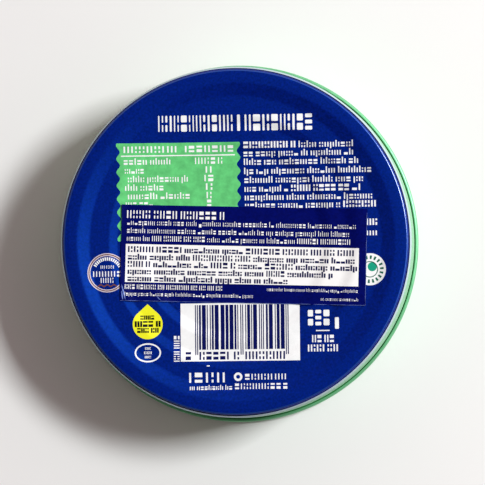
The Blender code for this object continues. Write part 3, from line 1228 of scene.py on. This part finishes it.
def curve_solid(name, outlines, place, material, extrude=0.0, tube=0.0):
    """A plate cut from outlines, or a tube along them, as a closed mesh."""
    curve = bpy.data.curves.new(name, "CURVE")
    curve.dimensions = "3D" if tube else "2D"
    if not tube:
        curve.fill_mode = "BOTH"
    curve.extrude = extrude
    curve.bevel_depth = tube
    curve.bevel_resolution = TAB_ROLL_RESOLUTION
    for points in outlines:
        spline = curve.splines.new("POLY")
        spline.points.add(len(points) - 1)
        for point, (x, y) in zip(spline.points, points):
            point.co = (x, y, 0.0, 1.0)
        spline.use_cyclic_u = True
    holder = add_object(name, curve)
    graph = bpy.context.evaluated_depsgraph_get()
    mesh = bpy.data.meshes.new_from_object(holder.evaluated_get(graph))
    bpy.data.objects.remove(holder, do_unlink=True)
    bm = bmesh.new()
    bm.from_mesh(mesh)
    bmesh.ops.translate(bm, verts=bm.verts, vec=place)
    bmesh.ops.remove_doubles(bm, verts=bm.verts, dist=MERGE_DISTANCE)
    bmesh.ops.recalc_face_normals(bm, faces=bm.faces)
    bm.to_mesh(mesh)
    bm.free()
    mesh.materials.clear()
    mesh.materials.append(material)
    return add_object(name, mesh)


def make_tab(colours):
    """The ring-pull tab: a thin web with rolled edges round its outline and its finger hole."""
    metal = tab_metal(colours)
    roll = (TAB_HIGH.z - TAB_LOW.z) / 2.0
    inner_roll = roll * TAB_INNER_ROLL_SHARE
    place = (0.0, -RIVET_DISTANCE, TAB_LOW.z + roll)
    outline = tab_outline(roll)
    finger_hole = circle_outline((0.0, TAB_RING_OFFSET), TAB_HOLE_RADIUS + inner_roll)
    rivet_hole = circle_outline((0.0, 0.0), TAB_RIVET_HOLE_RADIUS)
    web_outlines = [outline, finger_hole, rivet_hole]
    web = curve_solid("pull_ring", web_outlines, place, metal, extrude=TAB_WEB_THICKNESS / 2.0)
    outer = curve_solid("outer_roll", [outline], place, metal, tube=roll)
    inner = curve_solid("inner_roll", [finger_hole], place, metal, tube=inner_roll)
    join_by_union(web, [outer, inner])
    shade(web)
    settle(web, "tab_metal", "pull_tab")


def scallop(height):
    """How far a scalloped side stands out at a height."""
    return SCALLOP_DEPTH * math.cos(2.0 * math.pi * (height - SCALLOP_PHASE) / SCALLOP_PITCH)


def make_table(layout, colours):
    """The green table with scalloped sides, and its rows of marks."""
    rng = dice(layout, "table")
    left, right, low, high = TABLE_FIELD
    heights = spaced(low, high, TABLE_FIELD_CELL)
    field = strip(
        lambda y: left - scallop(y), lambda y: right + scallop(y), heights, TABLE_FIELD_COLUMNS
    )
    can_print("table_field", [field], layout, ink("field_green", colours.field_green, share=0.16))
    marks = [block(*TABLE_RULE)]
    for start, end in TABLE_TITLES:
        marks += mark_row(rng, start, end, TABLE_TITLE_MIDDLE, TABLE_MARK, WIDE, tall_only=True)
    for label_start, label_end, start, end, middle in TABLE_ROWS:
        marks += mark_row(rng, label_start, label_end, middle, TABLE_MARK)
        marks += mark_row(rng, start, end, middle, TABLE_MARK, WIDE_PLAIN, tall_only=True)
    can_print("table_marks", marks, layout, ink("white_ink", colours.white_ink), over_ink=True)


def make_title(layout, colours):
    """The row of large blocks at the top."""
    rng = dice(layout, "title")
    marks = []
    for count, left, right in TITLE_GROUPS:
        marks += title_blocks(rng, count, left, right, *TITLE_BAND)
    can_print("title_blocks", marks, layout, ink("white_ink", colours.white_ink))


def make_text(layout, colours):
    """The long rows of small marks beside the table."""
    rng = dice(layout, "text")
    marks = []
    for left, right, middle, bold_parts in TEXT_LINES:
        marks += row_with_bold(rng, left, right, middle, TEXT_MARK, bold_parts)
    can_print("text_marks", marks, layout, ink("white_ink", colours.white_ink))


def centred_rows(rng, centre, rows, pen=BOLD):
    """Short rows of tall marks round a centre, each (left, right, middle, height)."""
    x, y = centre
    marks = []
    for left, right, middle, height in rows:
        marks += mark_row(rng, x + left, x + right, y + middle, height, pen, tall_only=True)
    return marks


def wave_line(centre, left, right, middle, thickness, swing, pitch):
    """A wavy line across a badge, placed from its centre."""
    half = thickness / 2.0
    flat = strip(lambda _: -half, lambda _: half, spaced(-right, -left, WAVE_CELL), 1)

    def bend(point):
        rise = middle + swing * math.cos(2.0 * math.pi * point[1] / pitch)
        return (centre[0] - point[1], centre[1] + rise + point[0])

    return moved(flat, bend)


def make_left_badge(layout, colours):
    """A round badge of thin rings, with marks round its upper half and a wave below."""
    rng = dice(layout, "left badge")
    peach = [ring(LEFT_BADGE, inner, outer) for inner, outer in LEFT_BADGE_PEACH_RINGS]
    can_print("left_badge_peach", peach, layout, ink("peach_ink", colours.peach))
    brown = [ring(LEFT_BADGE, *LEFT_BADGE_BROWN_RING), wave_line(LEFT_BADGE, *LEFT_BADGE_WAVE)]
    can_print("left_badge_brown", brown, layout, ink("brown_ink", colours.brown))
    marks = dashes(LEFT_BADGE, *LEFT_BADGE_DASHES)
    marks += centred_rows(rng, LEFT_BADGE, LEFT_BADGE_ROWS, WIDE_PLAIN)
    can_print("left_badge_marks", marks, layout, ink("white_ink", colours.white_ink))


def make_right_badge(layout, colours):
    """A white disc with a green ring, a dot and short dashes round it."""
    white = ink("white_ink", colours.white_ink)
    can_print("right_badge_disc", [disc(RIGHT_BADGE, RIGHT_BADGE_RADIUS)], layout, white)
    across, up, radius = RIGHT_BADGE_DOT
    dot = disc((RIGHT_BADGE[0] + across, RIGHT_BADGE[1] + up), radius)
    badge_green = ink("badge_green", colours.badge_green)
    can_print("right_badge_dot", [dot], layout, badge_green, over_ink=True)
    marks = [ring(RIGHT_BADGE, *RIGHT_BADGE_RING), *dashes(RIGHT_BADGE, *RIGHT_BADGE_DASHES)]
    deep_green = ink("badge_deep_green", colours.deep_green)
    can_print("right_badge_marks", marks, layout, deep_green, over_ink=True)


def drop_half_width(rise):
    """Half the drop's width at a height over the centre of its round part."""
    tangent = DROP_RADIUS ** 2 / DROP_TIP
    if rise <= tangent:
        return math.sqrt(max(DROP_RADIUS ** 2 - rise ** 2, 0.0))
    slope = DROP_RADIUS / math.sqrt(DROP_TIP ** 2 - DROP_RADIUS ** 2)
    return (DROP_TIP - rise) * slope


def make_drop(layout, colours):
    """The yellow drop with its dark marks, and the white oval under it."""
    rng = dice(layout, "drop")
    height = DROP_TIP + DROP_RADIUS
    rises = [
        height * (1.0 - math.cos(math.pi * i / DROP_STEPS)) / 2.0 - DROP_RADIUS
        for i in range(DROP_STEPS + 1)
    ]
    flat = strip(lambda rise: -drop_half_width(rise), drop_half_width, rises, DROP_COLUMNS)
    shape = moved(flat, lambda point: (DROP_CENTRE[0] + point[0], DROP_CENTRE[1] + point[1]))
    can_print("drop", [shape], layout, ink("yellow_ink", colours.yellow))
    marks = centred_rows(rng, DROP_CENTRE, DROP_ROWS, DROP_PEN)
    can_print("drop_marks", marks, layout, ink("black_ink", colours.black_ink), over_ink=True)
    hole = tuple(radius - OVAL_STROKE for radius in OVAL_RADII)
    oval = [oval_ring(OVAL_CENTRE, hole, OVAL_RADII), *centred_rows(rng, OVAL_CENTRE, OVAL_ROWS)]
    can_print("oval", oval, layout, ink("white_ink", colours.white_ink))


def bar_widths(rng, modules):
    """Widths in modules of bars and gaps in turn, which fill a number of modules."""
    widths = []
    while sum(widths) < modules:
        widths.append(rng.choice(GAP_CHOICES if len(widths) % 2 else BAR_CHOICES))
    widths[-1] -= sum(widths) - modules
    return widths


def bar(start, width, low, high):
    """One bar of the barcode, with its start and width in modules."""
    left = BARCODE_BARS[0] + start * BARCODE_MODULE
    return block(left, left + width * BARCODE_MODULE, low, high)


def barcode_lines(rng):
    """Two long bars in each guard, and bars of random widths in both halves."""
    low, high = BARCODE_BARS[2:]
    lines = [
        bar(start + shift, 1, BARCODE_GUARD_LOW, high)
        for start in BARCODE_GUARD_STARTS for shift in (0, 2)
    ]
    for start in BARCODE_HALF_STARTS:
        at = start + 1
        for i, width in enumerate(bar_widths(rng, BARCODE_HALF - 1)):
            if i % 2 == 0:
                lines.append(bar(at, width, low, high))
            at += width
    return lines


def barcode_mark_starts():
    """Left ends of the small marks under the barcode: one before it, and a row under each half."""
    left = BARCODE_BARS[0]
    step = BARCODE_HALF / BARCODE_MARK_COUNT
    starts = [left - BARCODE_FIRST_MARK]
    for start, inset in zip(BARCODE_HALF_STARTS, BARCODE_MARK_INSETS):
        for i in range(BARCODE_MARK_COUNT):
            starts.append(left + (start + inset + step * i) * BARCODE_MODULE)
    return starts


def make_barcode(layout, colours):
    """A white panel with bars of random widths, and small marks under and beside them."""
    rng = dice(layout, "barcode")
    white = ink("white_ink", colours.white_ink)
    can_print("barcode_panel", [block(*BARCODE_PANEL)], layout, white)
    marks = barcode_lines(rng)
    low, high = BARCODE_MARKS
    for start in barcode_mark_starts():
        group, _ = small_marks(rng, MEDIUM, high - low, tall_only=True)
        marks += [block(start + a, start + b, low + c, low + d) for a, b, c, d in group]
    can_print("barcode_bars", marks, layout, ink("dark_ink", colours.dark_ink), over_ink=True)
    foot, low_end, high_end, height = SIDE_NUMBER
    row = mark_row(rng, low_end, high_end, height / 2.0, height, tall_only=True)
    upright = [moved(patch, lambda point: (foot - point[1], point[0])) for patch in row]
    can_print("side_number", upright, layout, white)


def make_foot_lines(layout, colours):
    """The blocks, rule and small rows at the bottom."""
    rng = dice(layout, "foot")
    marks = [block(*WEIGHT_RULE), block(*FLECK)]
    marks += title_blocks(rng, *WEIGHT_BLOCKS)
    marks += title_blocks(rng, *WEIGHT_SMALL_BLOCK)
    for left, right, middle, height, pen in FOOT_LINES:
        marks += mark_row(rng, left, right, middle, height, pen, tall_only=pen is not PLAIN)
    across, up, inner, outer = FOOT_RING
    marks.append(ring((across, up), inner, outer))
    can_print("foot_marks", marks, layout, ink("white_ink", colours.white_ink))


def crease_height(x, y, crease):
    """Height of the small creases where the paper crosses the slopes at its lower left."""
    side = smooth_share((-x - CREASE_START[0]) / CREASE_FADE[0])
    side *= smooth_share((-y - CREASE_START[1]) / CREASE_FADE[1])
    ripple = noise.noise(Vector((x * CREASE_RIPPLES[0], y * CREASE_RIPPLES[1], CREASE_PHASE)))
    return crease * side * (0.5 + ripple)


def sticker_frame(sticker):
    """The sticker's own frame, with the height of the paper's upper face."""
    centre = ((LABEL_LOW.x + LABEL_HIGH.x) / 2.0, (LABEL_LOW.y + LABEL_HIGH.y) / 2.0)

    def surface(x, y):
        radius = math.hypot(x, y)
        bridged = [relief_height(radius + reach * sticker.bridging) for reach in (1.0, 2.0)]
        rest = max(sum(bridged) / 2.0, relief_height(radius))
        lifted = max(crease_height(x, y, sticker.crease), 0.0)
        return rest + PAPER_GAP + sticker.thickness + lifted

    return PrintFrame(centre, sticker.turn, surface)


def sticker_half_sizes():
    """Half the sticker's width and height in millimetres, from the box of the turned label."""
    turn = math.radians(LABEL_TURN_DEG)
    wide = LABEL_HIGH.x - LABEL_LOW.x
    deep = LABEL_HIGH.y - LABEL_LOW.y
    spread = math.cos(turn) ** 2 - math.sin(turn) ** 2
    width = (wide * math.cos(turn) - deep * math.sin(turn)) / spread
    height = (deep * math.cos(turn) - wide * math.sin(turn)) / spread
    return width / 2.0 / MM, height / 2.0 / MM


def crease_glint(start, end, width):
    """A ragged pale line painted along a crease as its highlight, widest at its middle."""
    (x0, y0), (x1, y1) = start, end
    length = math.hypot(x1 - x0, y1 - y0)
    along_x, along_y = (x1 - x0) / length, (y1 - y0) / length

    def half_width(along):
        share = max(math.sin(math.pi * along / length), 0.0)
        wander = abs(noise.noise(Vector((along * GLINT_WAVES, x0, y0))))
        return 0.5 * width * share * (GLINT_LEAST_SHARE + wander) + GLINT_THINNEST

    def slant(point):
        across, along = point
        return (x0 + along * along_x + across * along_y, y0 + along * along_y - across * along_x)

    flat = strip(lambda v: -half_width(v), half_width, spaced(0.0, length, GLINT_CELL), 1)
    return moved(flat, slant)


def ragged_width(along, phase):
    """Width of the bare edge that shows at a place along it."""
    wander = noise.noise(Vector((along * PALE_EDGE_WAVES, phase, 0.0)))
    return PALE_EDGE_WIDTH * smooth_share(PALE_EDGE_SHARE + wander)


def pale_edges(left, right, half_height):
    """The bare edge of the paper on its right and along its bottom."""
    side = right - PALE_EDGE_INSET
    low = -half_height + PALE_EDGE_INSET
    side_phase, low_phase = PALE_EDGE_PHASES
    heights = spaced(low, half_height - PALE_EDGE_TOP, PALE_EDGE_CELL)
    upright = strip(lambda v: side - ragged_width(v, side_phase), lambda v: side, heights, 1)
    lengths = spaced(-side, -left - PALE_EDGE_INSET, PALE_EDGE_CELL)
    flat = strip(lambda v: low, lambda v: low + ragged_width(v, low_phase), lengths, 1)
    return [upright, moved(flat, lambda point: (-point[1], point[0]))]


def make_sticker(sticker, colours):
    """The paper sticker, laid over the slopes, with a bare edge that shows here and there."""
    half_width, half_height = sticker_half_sizes()
    left = -half_width - LEFT_MARGIN
    right = half_width + RIGHT_MARGIN
    navy = sticker_paper("navy_paper", colours.navy, share=0.2)
    bare = sticker_paper("bare_paper", colours.paper, share=0.02)
    sheet = block(left, right, -half_height, half_height, sticker.cell / MM)
    paper = layer("sticker", [sheet], sticker_frame(sticker), 0.0, sticker.thickness, [navy, bare])
    settle(paper, "label_paper", "label")
    edges = pale_edges(left, right, half_height)
    # Painted highlights: pale lines along the creases at the lower left, in the bare edge's pale blue
    edges += [crease_glint(*crease) for crease in CREASE_GLINTS]
    edges_and_glints = sticker_paper("pale_edge_and_crease_glint", colours.pale_edge_and_crease_glint, share=0.15)
    sticker_print("sticker_edge_and_crease_glints", edges, sticker, edges_and_glints)


def make_sticker_print(sticker, layout, colours):
    """The sticker's rows of marks and its white box."""
    rng = dice(layout, "sticker")
    white = sticker_paper("sticker_white", colours.paper, share=0.015)
    marks = mark_row(rng, *STICKER_TITLE, FINE_BOLD, tall_only=True)
    for row in STICKER_LINES:
        marks += row_with_bold(rng, *row, FINE, FINE_BOLD)
    sticker_print("sticker_lines", marks, sticker, white)
    sticker_print("sticker_box", [block(*STICKER_BOX)], sticker, white)
    dark = []
    for row in STICKER_BOX_LINES:
        dark += row_with_bold(rng, *row, BOX_PEN)
    dark_ink = ink("sticker_dark_ink", colours.box_ink)
    sticker_print("sticker_box_lines", dark, sticker, dark_ink, over_ink=True)


def make_floor(colours):
    """The plain floor that the tin lies on."""
    mesh = bpy.data.meshes.new("floor")
    bm = bmesh.new()
    bmesh.ops.create_grid(bm, x_segments=FLOOR_CELLS, y_segments=FLOOR_CELLS, size=FLOOR_REACH)
    bm.to_mesh(mesh)
    bm.free()
    mesh.materials.append(floor_finish(colours))
    floor = add_object("floor", mesh)


def make_key_light(stage):
    """The main light, a rectangle that looks at the tin."""
    light = bpy.data.lights.new("key", "AREA")
    light.shape = "RECTANGLE"
    light.size = stage.key_width
    light.size_y = stage.key_height
    light.energy = stage.key_power
    light.color = stage.key_tint
    lamp = add_object("key", light)
    level = math.cos(stage.key_elevation)
    back = Vector((
        level * math.cos(stage.key_azimuth),
        level * math.sin(stage.key_azimuth),
        math.sin(stage.key_elevation),
    ))
    lamp.location = back * stage.key_distance
    lamp.rotation_euler = back.to_track_quat("Z", "Y").to_euler()


def make_sky(stage):
    """Surroundings that are dark straight above, and paler on one side."""
    world = bpy.data.worlds.new("studio")
    world.use_nodes = True
    work = NodeWork(world.node_tree, "Generated")
    palest = (math.cos(stage.sky_azimuth), math.sin(stage.sky_azimuth), 0.0)
    towards = work.calculate("DOT_PRODUCT", work.place, palest, kind=VECTOR_MATH)
    side = work.spread(towards, -1.0, 1.0, stage.sky_far, stage.sky_near)
    fade = work.spread(work.height(), *SKY_FADE, 1.0, stage.sky_top, smooth=True)
    level = work.calculate("MULTIPLY", fade, side)
    tinted = work.calculate("MULTIPLY", level, stage.sky_tint, kind=VECTOR_MATH, result="Vector")
    background = work.tree.nodes["Background"]
    work.feed(background.inputs["Color"], tinted)
    work.feed(background.inputs["Strength"], stage.sky_strength)
    bpy.context.scene.world = world


def make_camera():
    """The camera, which looks down from the right of the tin."""
    camera = bpy.data.cameras.new("camera")
    camera.sensor_width = SENSOR_WIDTH
    camera.lens = CAMERA_FOCAL / IMAGE_SIDE * SENSOR_WIDTH
    camera.clip_start = CLIP_START
    obj = add_object("camera", camera)
    back = (Vector(CAMERA_PLACE) - Vector(CAMERA_TARGET)).normalized()
    right = Vector((0.0, 1.0, 0.0)).cross(back).normalized()
    up = back.cross(right)
    turn = Matrix((right, up, back)).transposed().to_4x4()
    obj.matrix_world = Matrix.Translation(CAMERA_PLACE) @ turn
    bpy.context.scene.camera = obj


def make_stage(stage, colours):
    """Floor, light, surroundings and camera."""
    bpy.context.scene.view_settings.view_transform = "Standard"
    make_floor(colours)
    make_sky(stage)
    make_key_light(stage)
    make_camera()


class FISHTIN_OT_can(bpy.types.Operator):
    """Turn the can with its stepped bottom"""

    bl_idname = "fish_tin.can"
    bl_label = "Can"

    def execute(self, context):
        make_can(context.scene.tin_sizes, context.scene.pack_colours)
        return {"FINISHED"}


class FISHTIN_OT_lid(bpy.types.Operator):
    """Turn the lid with its seam, and join the rivet to it"""

    bl_idname = "fish_tin.lid"
    bl_label = "Lid and rivet"

    def execute(self, context):
        make_lid(context.scene.tin_sizes, context.scene.pack_colours)
        return {"FINISHED"}


class FISHTIN_OT_tab(bpy.types.Operator):
    """Make the ring-pull tab with its rolled edges"""

    bl_idname = "fish_tin.tab"
    bl_label = "Ring-pull tab"

    def execute(self, context):
        make_tab(context.scene.pack_colours)
        return {"FINISHED"}


class FISHTIN_OT_table(bpy.types.Operator):
    """Print the green table"""

    bl_idname = "fish_tin.table"
    bl_label = "Green table"

    def execute(self, context):
        make_table(context.scene.print_layout, context.scene.pack_colours)
        return {"FINISHED"}


class FISHTIN_OT_text(bpy.types.Operator):
    """Print the large blocks and the long rows of marks"""

    bl_idname = "fish_tin.text"
    bl_label = "Title blocks and long rows"

    def execute(self, context):
        make_title(context.scene.print_layout, context.scene.pack_colours)
        make_text(context.scene.print_layout, context.scene.pack_colours)
        return {"FINISHED"}


class FISHTIN_OT_badges(bpy.types.Operator):
    """Print both round badges"""

    bl_idname = "fish_tin.badges"
    bl_label = "Round badges"

    def execute(self, context):
        make_left_badge(context.scene.print_layout, context.scene.pack_colours)
        make_right_badge(context.scene.print_layout, context.scene.pack_colours)
        return {"FINISHED"}


class FISHTIN_OT_drop(bpy.types.Operator):
    """Print the yellow drop and the oval"""

    bl_idname = "fish_tin.drop"
    bl_label = "Drop and oval"

    def execute(self, context):
        make_drop(context.scene.print_layout, context.scene.pack_colours)
        return {"FINISHED"}


class FISHTIN_OT_barcode(bpy.types.Operator):
    """Print the barcode"""

    bl_idname = "fish_tin.barcode"
    bl_label = "Barcode"

    def execute(self, context):
        make_barcode(context.scene.print_layout, context.scene.pack_colours)
        return {"FINISHED"}


class FISHTIN_OT_foot_lines(bpy.types.Operator):
    """Print the blocks and small rows at the bottom"""

    bl_idname = "fish_tin.foot_lines"
    bl_label = "Bottom blocks and rows"

    def execute(self, context):
        make_foot_lines(context.scene.print_layout, context.scene.pack_colours)
        return {"FINISHED"}


class FISHTIN_OT_sticker(bpy.types.Operator):
    """Lay the paper sticker over the bottom and print it"""

    bl_idname = "fish_tin.sticker"
    bl_label = "Sticker"

    def execute(self, context):
        scene = context.scene
        make_sticker(scene.sticker_sizes, scene.pack_colours)
        make_sticker_print(scene.sticker_sizes, scene.print_layout, scene.pack_colours)
        return {"FINISHED"}


class FISHTIN_OT_stage(bpy.types.Operator):
    """Set up the floor, the light and the camera"""

    bl_idname = "fish_tin.stage"
    bl_label = "Stage"

    def execute(self, context):
        make_stage(context.scene.stage_settings, context.scene.pack_colours)
        return {"FINISHED"}


OPERATORS = (
    FISHTIN_OT_can,
    FISHTIN_OT_lid,
    FISHTIN_OT_tab,
    FISHTIN_OT_table,
    FISHTIN_OT_text,
    FISHTIN_OT_badges,
    FISHTIN_OT_drop,
    FISHTIN_OT_barcode,
    FISHTIN_OT_foot_lines,
    FISHTIN_OT_sticker,
    FISHTIN_OT_stage,
)

SETTINGS = {
    "tin_sizes": TinSizes,
    "sticker_sizes": StickerSizes,
    "print_layout": PrintLayout,
    "pack_colours": PackColours,
    "stage_settings": StageSettings,
}


class FISHTIN_PT_panel(bpy.types.Panel):
    """Lists the operators and the settings of the tin"""

    bl_label = "Fish Tin"
    bl_idname = "FISHTIN_PT_panel"
    bl_space_type = "VIEW_3D"
    bl_region_type = "UI"
    bl_category = "Fish Tin"

    def draw(self, context):
        for operator in OPERATORS:
            self.layout.operator(operator.bl_idname)
        for name in SETTINGS:
            group = getattr(context.scene, name)
            box = self.layout.box()
            for prop in group.bl_rna.properties:
                if prop.identifier not in ("rna_type", "name"):
                    box.prop(group, prop.identifier)


def register():
    """Registers the settings, the operators and the panel."""
    for name, group in SETTINGS.items():
        bpy.utils.register_class(group)
        setattr(bpy.types.Scene, name, PointerProperty(type=group))
    for operator in OPERATORS:
        bpy.utils.register_class(operator)
    bpy.utils.register_class(FISHTIN_PT_panel)


def unregister():
    """Takes them away again."""
    bpy.utils.unregister_class(FISHTIN_PT_panel)
    for operator in reversed(OPERATORS):
        bpy.utils.unregister_class(operator)
    for name, group in SETTINGS.items():
        delattr(bpy.types.Scene, name)
        bpy.utils.unregister_class(group)


def main():
    """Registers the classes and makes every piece."""
    register()
    bpy.ops.fish_tin.can()
    bpy.ops.fish_tin.lid()
    bpy.ops.fish_tin.tab()
    bpy.ops.fish_tin.table()
    bpy.ops.fish_tin.text()
    bpy.ops.fish_tin.badges()
    bpy.ops.fish_tin.drop()
    bpy.ops.fish_tin.barcode()
    bpy.ops.fish_tin.foot_lines()
    bpy.ops.fish_tin.sticker()
    bpy.ops.fish_tin.stage()


if __name__ == "__main__":
    main()
